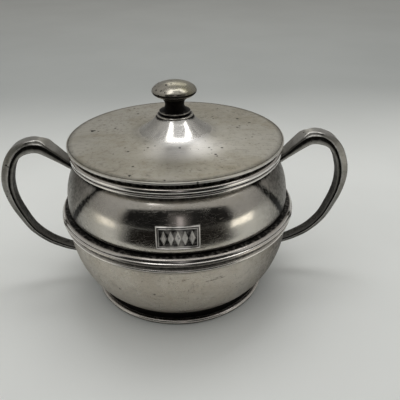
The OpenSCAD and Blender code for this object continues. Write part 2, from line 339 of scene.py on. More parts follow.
def silver_roughness(n, coords, age, rough):
    """Roughness within the range rough, less on polished and worn metal, more where it has aged."""
    roughness = n.ramp(n.noise(coords, ROUGHNESS_SCALE, 5.0, 0.65), 0.30, 0.72, rough[0], rough[1])
    polished = n.minus(1.0, n.times(n.attribute("polish"), 0.66))
    roughness = n.times(roughness, polished)
    for kind, amount in ROUGHENED_BY.items():
        roughness = n.math("ADD", roughness, n.times(age[kind], amount))
    return n.minus(roughness, n.times(n.attribute("wear_and_painted_highlight"), 0.06), clamp=True)


def silver_relief(n, coords, age, dings, grain):
    """Normal of the metal, with slow waves, dings, grain, scratches and pits."""
    normal = n.bump(n.noise(coords, WAVE_SCALE, 2.0, 0.5), 0.05 * MM, 0.35)
    if dings:
        upright = n.turned(coords, scale=(1.0, 1.0, 0.45))
        dents = n.times(spots(n, upright, DING_SCALE, 0.30, 0.07), -dings)
        normal = n.bump(dents, 0.10 * MM, 1.0, normal)
    normal = n.bump(n.noise(coords, GRAIN_SCALE, 3.0, 0.6), 0.004 * MM * grain, 0.6, normal)
    normal = n.bump(n.times(age["marks"], -1.0), 0.012 * MM, 0.6, normal)
    return n.bump(n.times(age["pit"], -1.0), 0.05 * MM, 0.8, normal)


def aged_silver(name, base, tarnish=WARM_TARNISH, warm=0.35, rough=(0.10, 0.18), pits=0.5, pit_scale=900.0,
                scratches=0.5, blotches=0.0, dings=0.0, veil=0.0, grain=1.0, mottle=0.0, seed=0.0,
                metallic=1.0, gouges=()):
    """Old silver plate: warm tarnish clouds, hairline scratches, pits, stains, and black in the crevices from
    tarnish and painted shade.

    Three point attributes of the mesh steer it, each 0 to 1: the grime one blackens crevices with tarnish and
    painted shade, the wear one shines edges up with wear and painted highlights, and polish makes the metal
    brighter and smoother.
    """
    material, n = new_material(name)
    coords = n.turned(n.position(), shift=(seed, -seed, seed * 0.7))
    age = silver_ageing(n, coords, warm, pits, pit_scale, scratches, veil, mottle)
    colour = silver_colour(n, coords, age, base, tarnish, blotches, gouges)
    roughness = silver_roughness(n, coords, age, rough)
    n.finish(colour, roughness, silver_relief(n, coords, age, dings, grain), metallic)
    return material


def aged_brass(name):
    """Dull turned brass, browned in patches."""
    material, n = new_material(name)
    coords = n.position()
    patches = n.ramp(n.noise(coords, 260.0, 5.0, 0.65), 0.35, 0.70)
    rings = n.noise(n.turned(coords, scale=(60, 60, 5200)), 1.0, 2.0)
    roughness = n.ramp(patches, 0.0, 1.0, 0.32, 0.6)
    n.finish(n.mix(patches, BRASS, BROWN_BRASS), roughness, n.bump(rings, 0.01 * MM, 0.7), metallic=1.0)
    return material


BOWL_METAL = aged_silver("bowl_silver", base=(0.62, 0.59, 0.54), warm=0.40, rough=(0.09, 0.17), pits=0.12,
                         scratches=0.8, blotches=0.25, dings=0.9, mottle=0.25)
LOWER_METAL = aged_silver("lower_bowl_silver", base=(0.60, 0.56, 0.50), tarnish=(0.44, 0.38, 0.30),
                          warm=0.55, rough=(0.20, 0.32), pits=0.5, scratches=0.9, blotches=0.6, grain=2.5,
                          mottle=0.45, seed=0.31,
                          gouges=(((8.0 * MM, 27.0 * MM), (16.0 * MM, 27.6 * MM), 0.20 * MM),
                                  ((11.0 * MM, 27.9 * MM), (15.2 * MM, 28.2 * MM), 0.14 * MM),
                                  ((-9.5 * MM, 20.4 * MM), (-5.5 * MM, 20.6 * MM), 0.12 * MM)))
MOULDING_METAL = aged_silver("moulding_silver", base=(0.62, 0.58, 0.54), warm=0.45, rough=(0.12, 0.22),
                             pits=0.4, scratches=0.3, mottle=0.4, seed=0.12)
HANDLE_METAL = aged_silver("handle_silver", base=(0.38, 0.37, 0.345), tarnish=(0.15, 0.14, 0.105),
                           warm=0.6, rough=(0.22, 0.42), pits=1.0, pit_scale=700.0, scratches=0.5,
                           veil=0.5, grain=2.5, mottle=1.0, seed=0.53)
LID_METAL = aged_silver("lid_silver", base=(0.455, 0.435, 0.383), tarnish=(0.30, 0.27, 0.20), warm=0.6,
                        rough=(0.38, 0.48), pits=0.9, pit_scale=420.0, scratches=1.0, blotches=1.0,
                        grain=5.0, mottle=0.8, seed=0.77, metallic=0.86)
KNOB_METAL = aged_silver("knob_silver", base=(0.52, 0.49, 0.43), tarnish=(0.25, 0.235, 0.15), warm=0.8,
                         rough=(0.10, 0.20), pits=1.0, pit_scale=520.0, scratches=0.3, blotches=1.0,
                         mottle=1.0, seed=0.91)
BADGE_METAL = aged_silver("badge_silver", base=(0.74, 0.72, 0.69), warm=0.3, rough=(0.30, 0.42), pits=0.4,
                          scratches=0.5, mottle=0.6, grain=3.0, seed=0.42, metallic=0.6)
BRASS_METAL = aged_brass("stud_brass")

# -------- sizes from the frame


class Span:
    """Largest radius, lowest and highest point of a round CAD node."""

    def __init__(self, node):
        low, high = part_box(node)
        self.r = high.x
        self.low = low.z
        self.high = high.z


LOWER = Span("lower_body")
UPPER = Span("upper_body")
GIRDLE = Span("girdle_wire")
MOUTH = Span("mouth_wire")
BEAD = Span("neck_bead")
FOOT = Span("foot_ring")
SHELL = Span("lid_shell")
RIM = Span("lid_rim_wire")
BEZEL = Span("lid_bezel")
KNOB = Span("knob")
COLLAR = Span("knob_collar")
STUD = Span("knob_stud")
WASHER = Span("knob_washer")
NUT = Span("knob_nut")

WALL = 1.2 * MM
SLEEVE_R = LOWER.r - WALL
NECK_R = 38.3 * MM
WAIST_Z = GIRDLE.high
SEAM_Z = LOWER.high
FOOT_TOP = FOOT.high
LID_WALL = 1.0 * MM
LID_FALL = 0.055

# -------- curves


def bezier(points, count, start=0.0):
    """count + 1 points and unit left-hand normals along a cubic curve."""
    p = [np.array(q) for q in points]
    out = []
    for t in np.linspace(start, 1.0, count + 1):
        s = 1 - t
        at = s**3 * p[0] + 3 * s * s * t * p[1] + 3 * s * t * t * p[2] + t**3 * p[3]
        along = s * s * (p[1] - p[0]) + 2 * s * t * (p[2] - p[1]) + t * t * (p[3] - p[2])
        along = along / np.linalg.norm(along)
        out.append((at, np.array((-along[1], along[0]))))
    return out


def side(curve, distance=0.0):
    """The curve's points, moved distance to its left."""
    return [tuple(at + normal * distance) for at, normal in curve]


def arc(centre, radius, start, end, count):
    """Points on an arc between two angles in degrees."""
    return [(centre[0] + radius * math.cos(a), centre[1] + radius * math.sin(a))
            for a in np.radians(np.linspace(start, end, count + 1))]


def softened(outline, radius, steps=3):
    """Closed outline with each sharp corner replaced by a small round, at most radius across."""
    out = []
    count = len(outline)
    for i, corner in enumerate(outline):
        here = np.array(corner)
        before = np.array(outline[i - 1]) - here
        after = np.array(outline[(i + 1) % count]) - here
        a, b = np.linalg.norm(before), np.linalg.norm(after)
        if a < 1e-9 or b < 1e-9:
            continue
        turn = math.acos(max(-1.0, min(1.0, float(np.dot(before, after) / (a * b)))))
        if turn > math.radians(150) or here[0] < 1e-6:
            out.append(tuple(here))
            continue
        reach = min(radius, 0.45 * a, 0.45 * b)
        p0, p2 = here + before / a * reach, here + after / b * reach
        for t in np.linspace(0, 1, steps + 1):
            out.append(tuple((1 - t) ** 2 * p0 + 2 * t * (1 - t) * here + t * t * p2))
    return out


# Outer curves of the bowl, of radius and height
TAPER = [(LOWER.r, 32.5 * MM), (LOWER.r - 0.1 * MM, 23 * MM), (42 * MM, 13 * MM), (36.2 * MM, 6.6 * MM)]
HEEL = [TAPER[3], (35 * MM, 5.3 * MM), (34.6 * MM, FOOT_TOP), (33.4 * MM, FOOT_TOP)]
SHOULDER = [(SLEEVE_R, WAIST_Z), (SLEEVE_R + 0.7 * MM, WAIST_Z + 5.7 * MM),
            (NECK_R + 5.3 * MM, 52.4 * MM), (NECK_R, 56.8 * MM)]


def lid_height(r):
    """Top of the lid's cone at radius r."""
    return 65.1 * MM + (SHELL.r - r) * LID_FALL


CONE_R = 18 * MM
TRUMPET = [(7 * MM, SHELL.high), (9.6 * MM, SHELL.high - 3.4 * MM),
           (CONE_R - 4.6 * MM, lid_height(CONE_R - 4.6 * MM)), (CONE_R, lid_height(CONE_R))]

# -------- mesh helpers


def add_piece(name, vertices, faces, material, body, nodes, slot, grime_and_painted_shade=None, wear_and_painted_highlight=None, polish=None,
              sharp=40):
    """A mesh object with the three surface attributes, riding on its body in place of CAD nodes."""
    mesh = bpy.data.meshes.new(name)
    mesh.from_pydata([tuple(v) for v in vertices], [], faces)
    mesh.validate()
    for label, values in (("grime_and_painted_shade", grime_and_painted_shade), ("wear_and_painted_highlight", wear_and_painted_highlight), ("polish", polish)):
        layer = mesh.attributes.new(label, "FLOAT", "POINT")
        if values is not None:
            layer.data.foreach_set("value", np.asarray(values, np.float32))
    mesh.shade_smooth()
    mesh.set_sharp_from_angle(angle=math.radians(sharp))
    mesh.materials.append(material)
    piece = new_object(name, mesh)
    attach(piece, body)
    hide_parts(*nodes)


def lathe(outline, segments=224, wobble=0.0, waves=55, seed=0.0):
    """Vertices and faces of a closed outline turned about Z.

    wobble moves points in and out by up to that much, with the given number of waves per metre.
    """
    rings = []
    vertices = []
    for r, z in outline:
        if r < 1e-6:
            rings.append([len(vertices)])
            vertices.append(Vector((0, 0, z)))
            continue
        rings.append(list(range(len(vertices), len(vertices) + segments)))
        for k in range(segments):
            a = 2 * math.pi * k / segments
            x, y = math.cos(a), math.sin(a)
            dent = wobble * noise.noise(Vector((x * r * waves + seed, y * r * waves, z * waves)))
            vertices.append(Vector((x * (r + dent), y * (r + dent), z)))
    faces = []
    for i, ring in enumerate(rings):
        following = rings[(i + 1) % len(rings)]
        if len(ring) == 1 and len(following) == 1:
            continue
        for k in range(segments):
            m = (k + 1) % segments
            if len(ring) == 1:
                faces.append((ring[0], following[m], following[k]))
            elif len(following) == 1:
                faces.append((ring[k], ring[m], following[0]))
            else:
                faces.append((ring[k], ring[m], following[m], following[k]))
    return vertices, faces


def turned_piece(name, outline, material, body, nodes, slot, grime_and_painted_shade=None, wear_and_painted_highlight=None, polish=None,
                 around=None, brightening=None, radius=0.12 * MM, **settings):
    """A lathe piece. The grime, wear and polish rules are functions of radius and height; the grime one gives
    tarnish and painted shade, the wear one wear and painted highlights.

    around gives extra grime and painted shade, and the rule after it extra wear and painted highlight, at an
    angle from the front in degrees (+ to the right), a height and a radius. radius is how far the outline's
    corners are rounded.
    """
    outline = softened(outline, radius)
    if sum(a[0] * b[1] - b[0] * a[1] for a, b in zip(outline, outline[1:] + outline[:1])) < 0:
        outline = outline[::-1]
    vertices, faces = lathe(outline, **settings)
    flat = [(math.hypot(v.x, v.y), v.z) for v in vertices]
    levels = [[rule(r, z) for r, z in flat] if rule else None for rule in (grime_and_painted_shade, wear_and_painted_highlight, polish)]
    for place, rule in ((0, around), (1, brightening)):
        if rule:
            extra = [rule(math.degrees(math.atan2(v.x, -v.y)), z, r) for v, (r, z) in zip(vertices, flat)]
            levels[place] = [a + b for a, b in zip(levels[place] or [0.0] * len(extra), extra)]
    add_piece(name, vertices, faces, material, body, nodes, slot, *levels)


# -------- bowl


def make_lower_body():
    outline = (side(bezier(TAPER, 48)) + side(bezier(HEEL, 12))[1:] + [(0, FOOT_TOP), (0, FOOT_TOP + WALL)]
               + side(bezier(HEEL, 10, 0.2), -WALL)[::-1] + side(bezier(TAPER, 48), -WALL)[::-1]
               + [(SLEEVE_R, SEAM_Z), (LOWER.r, SEAM_Z)])

    floor_r = 30 * MM

    def grime_and_painted_shade(r, z):
        """Painted shade under the girdle and in the heel above the foot, and some grime on the floor."""
        heel = 1.6 * near(z, FOOT_TOP, 2.9 * MM) if r > floor_r else 0.3
        return max(near(z, GIRDLE.low, 1.1 * MM), heel)

    # Painted shade of what the sides mirror: darker toward the right and, less, toward the left
    def painted_dark_sides(angle, z, r):
        return 0.80 * near(angle, 72, 54) + 0.45 * near(angle, -76, 36)

    turned_piece("lower_body_spun", outline, LOWER_METAL, "bowl", ["lower_body"], "bowl_silver", grime_and_painted_shade,
                 around=painted_dark_sides, wobble=0.05 * MM, seed=3.0)


def make_upper_body():
    curve = bezier(SHOULDER, 56)
    outline = ([(SLEEVE_R, UPPER.low)] + side(curve) + [(NECK_R, MOUTH.high), (NECK_R - WALL, MOUTH.high)]
               + side(curve, WALL)[::-1] + [(SLEEVE_R - WALL, UPPER.low)])

    neck_low, bead_z = 50 * MM, 58 * MM

    def grime_and_painted_shade(r, z):
        """Tarnish and painted shade in the crease above the girdle, a painted shadow round the neck bead, and
        a little inside the neck.
        """
        if r < NECK_R - 0.5 * WALL and z > neck_low:
            return 0.15
        return max(1.4 * near(z, WAIST_Z, 1.4 * MM), 1.2 * near(z, bead_z, 2.4 * MM))

    def by_handles(angle, z, r):
        """Darker toward the handles, and a streak that runs down beside each handle: a painted dark
        reflection of the handle.
        """
        if z < WAIST_Z:
            return 0.0
        veil = (0.66 if angle > 0 else 0.60) * limited((abs(angle) - 36) / 20)
        streak_angle = 52.5 + (49.6 - z / MM) * 1.1
        return veil + 0.62 * near(abs(angle), streak_angle, 3.6)

    turned_piece("upper_body_spun", outline, BOWL_METAL, "bowl", ["upper_body"], "bowl_silver", grime_and_painted_shade,
                 around=by_handles, wobble=0.07 * MM, seed=9.0)


def make_girdle():
    """Moulding over the seam: a top wire, a crease, a bead, a groove and a small bead."""
    outer = GIRDLE.r - 0.04 * MM
    bead = 0.9 * MM
    small = 0.6 * MM
    outline = ([(SLEEVE_R, WAIST_Z)]
               + arc((outer - 2.1 * MM, WAIST_Z - 1.7 * MM), 1.65 * MM, 85, 14, 14)
               + arc((outer - bead, SEAM_Z + 0.35 * MM), bead, 66, -72, 16)
               + [(outer - 1.2 * MM, SEAM_Z - 1.3 * MM)]
               + arc((outer - 0.7 * MM - small, SEAM_Z - 2.6 * MM), small, 70, -78, 12)
               + [(LOWER.r, 32.7 * MM), (LOWER.r, SEAM_Z), (SLEEVE_R, SEAM_Z)])
    wire_low, crease_z, bead_z = 37.7 * MM, 37.35 * MM, 36.95 * MM
    groove_high, groove_z, groove_low = 36.6 * MM, 35.2 * MM, 33.9 * MM
    small_bead_z, under_z = 33.6 * MM, 32.6 * MM

    # Painted shade: the top wire's upper face, dark where it mirrors the shoulder, the crease, the groove and
    # the line under the small bead
    def grime_and_painted_shade(r, z):
        top_wire = min(1.0, (outer - 0.95 * MM - r) / (0.6 * MM)) if z > wire_low else 0.0
        crease = 1.3 * near(math.hypot(r - outer + 0.6 * MM, z - crease_z), 0, 0.42 * MM)
        groove = 1.05 * near(z, groove_z, 1.55 * MM) ** 0.5 if groove_low < z < groove_high else 0.0
        under = 1.2 * near(z, under_z, 0.6 * MM)
        return max(0.0, top_wire, crease, groove, under)

    # Painted highlights, with some wear: bright lines on the top wire and on both beads
    def wear_and_painted_highlight(r, z):
        top_wire = near(r, outer - 0.72 * MM, 0.40 * MM) if z > wire_low - 0.1 * MM else 0.0
        return max(top_wire, 0.9 * near(z, bead_z, 0.55 * MM), near(z, small_bead_z, 0.5 * MM))

    turned_piece("girdle_moulding", outline, MOULDING_METAL, "bowl", ["girdle_wire"], "moulding_silver",
                 grime_and_painted_shade, wear_and_painted_highlight, radius=0.06 * MM, wobble=0.03 * MM)


def make_mouth():
    """Half-round wire on which the lid rests."""
    r = (MOUTH.high - MOUTH.low) / 2
    outline = ([(NECK_R, MOUTH.low)] + arc((MOUTH.r - r, MOUTH.high - r), r, -90, 90, 24)
               + [(NECK_R, MOUTH.high)])

    # Painted shade under the wire and by the neck; the bright line on the wire's edge is a painted highlight
    def grime_and_painted_shade(radius, z):
        return near(z, MOUTH.low, 0.9 * MM) + 0.5 * near(radius, NECK_R, 1.2 * MM)

    turned_piece("mouth_half_round_wire", outline, MOULDING_METAL, "bowl", ["mouth_wire"],
                 "moulding_silver", grime_and_painted_shade, lambda radius, z: near(radius, MOUTH.r, 0.3 * MM))


def make_neck_bead():
    r = 0.65 * MM
    outline = ([(NECK_R, BEAD.low)] + arc((BEAD.r - r, BEAD.low + r), r, -90, 80, 16)
               + [(BEAD.r - r - 0.3 * MM, BEAD.high), (NECK_R, BEAD.high)])

    # Painted shade above the bead and against the neck; the bright line on its edge is a painted highlight
    def grime_and_painted_shade(radius, z):
        return max(near(z, BEAD.high, 0.45 * MM), 0.9 * near(radius, NECK_R, 2.0 * MM))

    turned_piece("neck_beading", outline, MOULDING_METAL, "bowl", ["neck_bead"], "moulding_silver",
                 grime_and_painted_shade, lambda radius, z: near(radius, BEAD.r, 0.25 * MM))


def make_foot():
    foot_r = FOOT.r - 0.03 * MM
    lip = [(foot_r - 0.25 * MM, 0.5 * MM), (foot_r + 0.1 * MM, 1.1 * MM), (foot_r - 0.2 * MM, 1.8 * MM),
           (foot_r - 0.9 * MM, 2.0 * MM)]
    cove = [lip[3], (foot_r - 2.9 * MM, 2.5 * MM), (foot_r - 3.1 * MM, 3.6 * MM),
            (foot_r - 2.7 * MM, FOOT_TOP)]
    bore = 32.6 * MM
    outline = ([(bore, 0), (foot_r - 0.7 * MM, 0)] + side(bezier(lip, 14)) + side(bezier(cove, 16, 0.1))
               + [(bore - 0.9 * MM, FOOT_TOP), (bore - 0.9 * MM, FOOT_TOP - 1.2 * MM)])

    sole, lip_top, cove_r = 0.8 * MM, 1.9 * MM, foot_r - 1.45 * MM

    def grime_and_painted_shade(r, z):
        """Painted contact shadow where the foot meets the table and, from cove_r inward, painted dark
        reflection in the cove.
        """
        if z < sole:
            return 1.25
        if z < lip_top or r < bore + 0.3 * MM:
            return 0.25
        return max(0.2, min(1.4, 4.0 * (cove_r - r) / MM + 0.2))

    # Painted highlight along the lip
    def wear_and_painted_highlight(r, z):
        return 0.45 * near(r, foot_r - 0.2 * MM, 0.5 * MM) if z > sole + 0.1 * MM else 0.0

    turned_piece("foot_ring_cast", outline, MOULDING_METAL, "bowl", ["foot_ring"], "moulding_silver", grime_and_painted_shade,
                 wear_and_painted_highlight)


# -------- handles

# Inset from the full reach, height, thickness and half width, in millimetres, as in the CAD part
HANDLE_STATIONS = [
    (29.1, 53.4, 2.6, 2.9), (25.6, 56.0, 2.9, 3.1), (21.1, 59.7, 4.0, 3.5), (16.8, 62.5, 5.0, 3.7),
    (12.1, 62.2, 4.9, 3.4), (7.65, 59.95, 4.7, 3.1), (4.2, 54.9, 4.5, 2.9), (2.25, 47.4, 4.4, 2.8),
    (2.85, 39.6, 3.8, 2.7), (5.4, 32.3, 3.3, 2.6), (8.85, 25.55, 2.9, 2.5), (14.25, 20.1, 2.7, 2.4),
    (20.3, 16.7, 2.6, 2.35), (25.0, 15.0, 2.4, 2.3), (28.2, 14.2, 2.3, 2.3)]
RINGS_PER_STATION = 24
# Along the handle: station, depth of the side ridge as a share of the thickness, half width of the outer flat
# as a share of the whole, brightness of the ridge (wear and painted highlight), and blackness of the side
# just inside the ridge (painted shade)
HANDLE_COURSE = [
    (0.0, 0.10, 0.90, 0.10, 0.80), (2.4, 0.12, 0.90, 0.25, 0.90), (2.6, 0.14, 0.90, 1.00, 1.00),
    (3.2, 0.24, 0.90, 1.00, 1.10), (3.9, 0.24, 0.88, 1.00, 1.20), (4.6, 0.40, 0.84, 0.90, 1.20),
    (5.2, 0.52, 0.78, 0.95, 1.10), (6.0, 0.60, 0.72, 0.75, 1.00), (8.0, 0.62, 0.70, 0.50, 0.90),
    (14.0, 0.56, 0.70, 0.40, 1.00)]
# The facet cut into the knuckle: where along the handle it starts, is widest and ends, and how wide the
# outer flat still is there, as a share of the half width
FACET_START, FACET_TIP, FACET_END = 2.58, 3.02, 3.95
FACET_SHARE = 0.50
# Wear above this belongs to a worn line with a painted highlight, which is patchy
WORN_HIGHLIGHT_LINE = 0.3


def spline(stations, s):
    """Catmull-Rom value between stations."""
    i = min(int(s), len(stations) - 2)
    t = s - i
    a, b, c, d = (np.array(stations[max(0, min(len(stations) - 1, j))]) for j in (i - 1, i, i + 1, i + 2))
    return 0.5 * (2 * b + (c - a) * t + (2 * a - 5 * b + 4 * c - d) * t * t + (3 * b - a - 3 * c + d) * t**3)


def handle_section(s, reach):
    """Half of the handle's section at station s: for each corner its place (x, z), y, grime and wear."""
    step = 0.01
    last = len(HANDLE_STATIONS) - 1
    ahead = spline(HANDLE_STATIONS, min(s + step, last))
    behind = spline(HANDLE_STATIONS, max(s - step, 0))
    inset, z, thick, half = spline(HANDLE_STATIONS, s) * MM
    along = np.array((behind[0] - ahead[0], ahead[1] - behind[1]))
    along = along / np.linalg.norm(along)
    out = np.array((-along[1], along[0]))
    mid = np.array((reach - inset, z))
    course = np.array(HANDLE_COURSE)
    ridge, flat, shine, black = (float(np.interp(s, course[:, 0], course[:, k])) for k in (1, 2, 3, 4))
    # on the facet the outer flat's edge runs in to a tip and out again
    facet = 0.0
    if FACET_START < s < FACET_END:
        rise = (s - FACET_START) / (FACET_TIP - FACET_START)
        fall = (FACET_END - s) / (FACET_END - FACET_TIP)
        facet = min(rise, fall, 1.0)
    flat += (FACET_SHARE - flat) * facet
    on_facet = min(1.0, facet * 6)
    # Painted highlight along the edges of the facet
    edge = 0.85 * on_facet + 0.10
    line = 0.16 * MM / half
    side = 1.0 - ridge
    # Grime, and painted shade that darkens the lower arm where it mirrors the bright table
    arm_grime_and_shade = 0.12 + 0.50 * limited((s - 7.5) / 4)
    rows = [
        # share of half width, depth as a share of the thickness, grime with painted shade, wear with painted
        # highlight
        (0.0, 0.0, arm_grime_and_shade, 0.22),
        (flat * 0.45, 0.0, arm_grime_and_shade, 0.22),
        (flat - 2.4 * line, 0.0, arm_grime_and_shade, 0.20),
        (flat - line, 0.0, 0.2 * (1 - on_facet), edge),
        (flat + 0.5 * line, ridge * 0.06, 0.2 * (1 - on_facet), edge),
        (flat + 2.0 * line, ridge * 0.22, 0.10 + arm_grime_and_shade + 0.45 * on_facet, 0.12),
        (0.5 * (1 + flat), ridge * 0.52, 0.10 + arm_grime_and_shade + 0.50 * on_facet, 0.12),
        (0.985 - line, ridge * 0.84, 0.10 + arm_grime_and_shade, 0.15),
        (0.995, ridge * 0.93, 0.15 * (1 - shine), shine),
        (1.0, ridge + 0.02, 0.15 * (1 - shine), shine),
        (0.99, ridge + 0.09 * side, black, 0.0),
        (0.95, ridge + 0.24 * side, 1.15, 0.0),
        (0.91, ridge + 0.44 * side, 1.0, 0.0),
        (0.87, ridge + 0.60 * side, 0.35, 0.10),
        (0.80, ridge + 0.90 * side, 0.22, 0.30),
        (0.74, 0.995, 0.70, 0.10),
        (0.45, 1.0, 0.70, 0.0),
        (0.0, 1.0, 0.75, 0.0)]
    outer = mid + out * thick / 2
    return [(outer - out * depth * thick, share * half, grime_and_painted_shade, wear_and_painted_highlight) for share, depth, grime_and_painted_shade, wear_and_painted_highlight in rows]


def make_handle(name, node, sign):
    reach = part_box("handle_right")[1].x - 0.09 * MM
    count = (len(HANDLE_STATIONS) - 1) * RINGS_PER_STATION
    vertices, grime_and_painted_shade, wear_and_painted_highlight = [], [], []
    for i in range(count + 1):
        half = handle_section(i / RINGS_PER_STATION, reach)
        loop = half + [(p, -y, g, w) for p, y, g, w in half[-2:0:-1]]
        for p, y, g, w in loop:
            point = Vector((sign * p[0], y, p[1]))
            point += 0.05 * MM * noise.noise_vector(point * 240 + Vector((sign * 7.0, 0, 0)))
            vertices.append(point)
            grime_and_painted_shade.append(g)
            patchy = 0.45 + 1.3 * abs(noise.noise(point * 420)) if w > WORN_HIGHLIGHT_LINE else 1.0
            wear_and_painted_highlight.append(w * patchy)
    size = len(loop)
    faces = []
    for i in range(count):
        for j in range(size):
            k = (j + 1) % size
            quad = (size * i + j, size * i + k, size * i + size + k, size * i + size + j)
            faces.append(quad if sign > 0 else quad[::-1])
    first = tuple(range(size))
    final = tuple(size * count + j for j in range(size))
    faces.append(first[::-1] if sign > 0 else first)
    faces.append(final if sign > 0 else final[::-1])
    add_piece(name, vertices, faces, HANDLE_METAL, "bowl", [node], "handle_silver", grime_and_painted_shade, wear_and_painted_highlight, sharp=32)


# -------- badge


def make_badge():
    """Low-relief badge that lies on the shoulder: a double frame round a row of lozenges on hatching."""
    low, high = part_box("badge")
    width, height = high.x - low.x, high.z - low.z
    middle_x, middle_z = (low.x + high.x) / 2, (low.z + high.z) / 2
    curve = bezier(SHOULDER, 200)
    heights = np.array([at[1] for at, _ in curve])
    radii = np.array([at[0] for at, _ in curve])
    tilts = np.array([math.atan2(-normal[1], -normal[0]) for _, normal in curve])
    columns, rows = 150, 84
    lozenges = 5
    pitch = (width - 3.2 * MM) / lozenges
    bevel, ground, raised = 0.12 * MM, 0.20 * MM, 0.34 * MM
    vertices, grime_and_painted_shade, wear_and_painted_highlight = [], [], []

    def relief(u, v):
        """Height of the relief, its grime and its wear at u, v from the middle."""
        edge = min(width / 2 - abs(u), height / 2 - abs(v))
        if edge < bevel:
            return 0.30 * MM * edge / bevel, 0.5, 0.3
        frame_line = max(near(edge, 0.38 * MM, 0.30 * MM), 0.7 * near(edge, 1.05 * MM, 0.22 * MM))
        cell = (u / pitch + lozenges / 2) % 1 - 0.5
        inside = abs(u) < pitch * lozenges / 2
        diamond = 1 - abs(cell) / 0.44 - abs(v) / (height / 2 - 1.55 * MM)
        if inside and diamond > 0:
            facet = min(1.0, diamond * 2.6)
            notch = near(diamond, 0.30, 0.10)
            lozenge = ground + 0.02 * MM + raised * facet - 0.15 * MM * notch
            return lozenge, 0.75 * notch + 0.25 * (1 - facet), facet * 0.8
        hatching = 0.025 * MM * (1 + math.cos(2 * math.pi * v / (0.62 * MM)))
        return ground + max(hatching, raised * frame_line), max(0.0, 0.75 - frame_line), frame_line

    for j in range(rows + 1):
        for i in range(columns + 1):
            u = width * (i / columns - 0.5)
            v = height * (j / rows - 0.5)
            lift, dirt, shine = relief(u, v)
            brightening = noise.noise(Vector((u * 380, v * 380, 3.0)))
            # Painted highlight: the middle of the badge is brightened and cleared of dirt
            centre = near(math.hypot(u, v * 0.8), 0, 4.2 * MM)
            lift += 0.05 * MM * noise.noise(Vector((u * 900, v * 900, 8.0)))
            shine = max(0.0, shine * (0.65 + 1.1 * brightening + 1.0 * centre))
            dirt = max(0.0, 1.15 * dirt + 0.5 * (0.25 - brightening) - 0.45 * centre)
            z = middle_z + v
            r = float(np.interp(z, heights, radii))
            tilt = float(np.interp(z, heights, tilts))
            lift += 0.02 * MM
            x = middle_x + u
            y = -math.sqrt(max(r * r - x * x, 0))
            outward = Vector((x, y, 0)).normalized() * math.cos(tilt) + Vector((0, 0, math.sin(tilt)))
            edge = min(i, columns - i, j, rows - j)
            sink = -0.15 * MM if edge == 0 else 0.0
            vertices.append(Vector((x, y, z)) + outward * (lift + sink))
            grime_and_painted_shade.append(dirt)
            wear_and_painted_highlight.append(shine)
    add_piece("shoulder_badge", vertices, grid_faces(columns, rows), BADGE_METAL, "bowl", ["badge"],
              "badge_silver", grime_and_painted_shade, wear_and_painted_highlight, sharp=60)


# -------- lid


def make_lid():
    under = LID_WALL * math.sqrt(1 + LID_FALL**2)
    outline = ([(STUD.r + 0.1 * MM, SHELL.high)] + side(bezier(TRUMPET, 56))
               + [(r, lid_height(r)) for r in np.linspace(CONE_R, SHELL.r, 14)[1:]]
               + [(SHELL.r, lid_height(SHELL.r) - under)]
               + [(r, lid_height(r) - under) for r in np.linspace(SHELL.r, CONE_R, 14)[1:-1]]
               + side(bezier(TRUMPET, 40, 0.14), -LID_WALL)[::-1]
               + [(COLLAR.r - 0.9 * MM, SHELL.high - LID_WALL), (STUD.r + 0.1 * MM, SHELL.high - LID_WALL)])
    rise_r = 14 * MM

    # Painted shade round the foot of the collar and at the edge
    def grime_and_painted_shade(r, z):
        return max(0.9 * near(r, COLLAR.r, 0.7 * MM), 0.5 * near(r, SHELL.r, 0.5 * MM))

    def polish(r, z):
        """The rise is handled most, so it is smooth."""
        return limited((15 * MM - r) / (3 * MM))

    def painted_glare_front(angle, z, r):
        """Painted glare of the window behind: brighter below the knob, mostly right of the middle."""
        if r > rise_r - 1 * MM:
            return 2.0 * near(angle, 12, 62) * near(r, 15.5 * MM, 15 * MM)
        return 1.1 * near(angle, 5, 60)

    # Painted shade of the reflections: dark flanks on the rise, and darker toward the back
    def painted_dark_sides(angle, z, r):
        flank = 0.34 * near(abs(angle), 75, 45) if r < rise_r else 0.0
        return flank + 0.13 * limited((abs(angle) - 80) / 50)

    turned_piece("lid_spun", outline, LID_METAL, "lid", ["lid_shell"], "lid_silver", grime_and_painted_shade, None, polish,
                 painted_dark_sides, painted_glare_front, wobble=0.05 * MM, seed=5.0)


def make_lid_wire():
    """Thin wire round the lid's edge."""
    top, depth, r = lid_height(SHELL.r), 1.1 * MM, 0.4 * MM
    outline = ([(SHELL.r, top - depth), (RIM.r - r, top - depth)]
               + arc((RIM.r - r, top - depth + r), r, -90, 0, 6)
               + arc((RIM.r - r, top - r - 0.1 * MM), r, 0, 75, 6) + [(SHELL.r, top - 0.04 * MM)])

    # Painted shade at the joint and underneath; the bright line on the edge is a painted highlight
    def grime_and_painted_shade(radius, z):
        return near(radius, SHELL.r, 0.22 * MM) + near(z, top - depth, 0.35 * MM)

    turned_piece("lid_edge_wire", outline, LID_METAL, "lid", ["lid_rim_wire"], "lid_silver", grime_and_painted_shade,
                 lambda radius, z: near(radius, RIM.r, 0.25 * MM), radius=0.05 * MM)


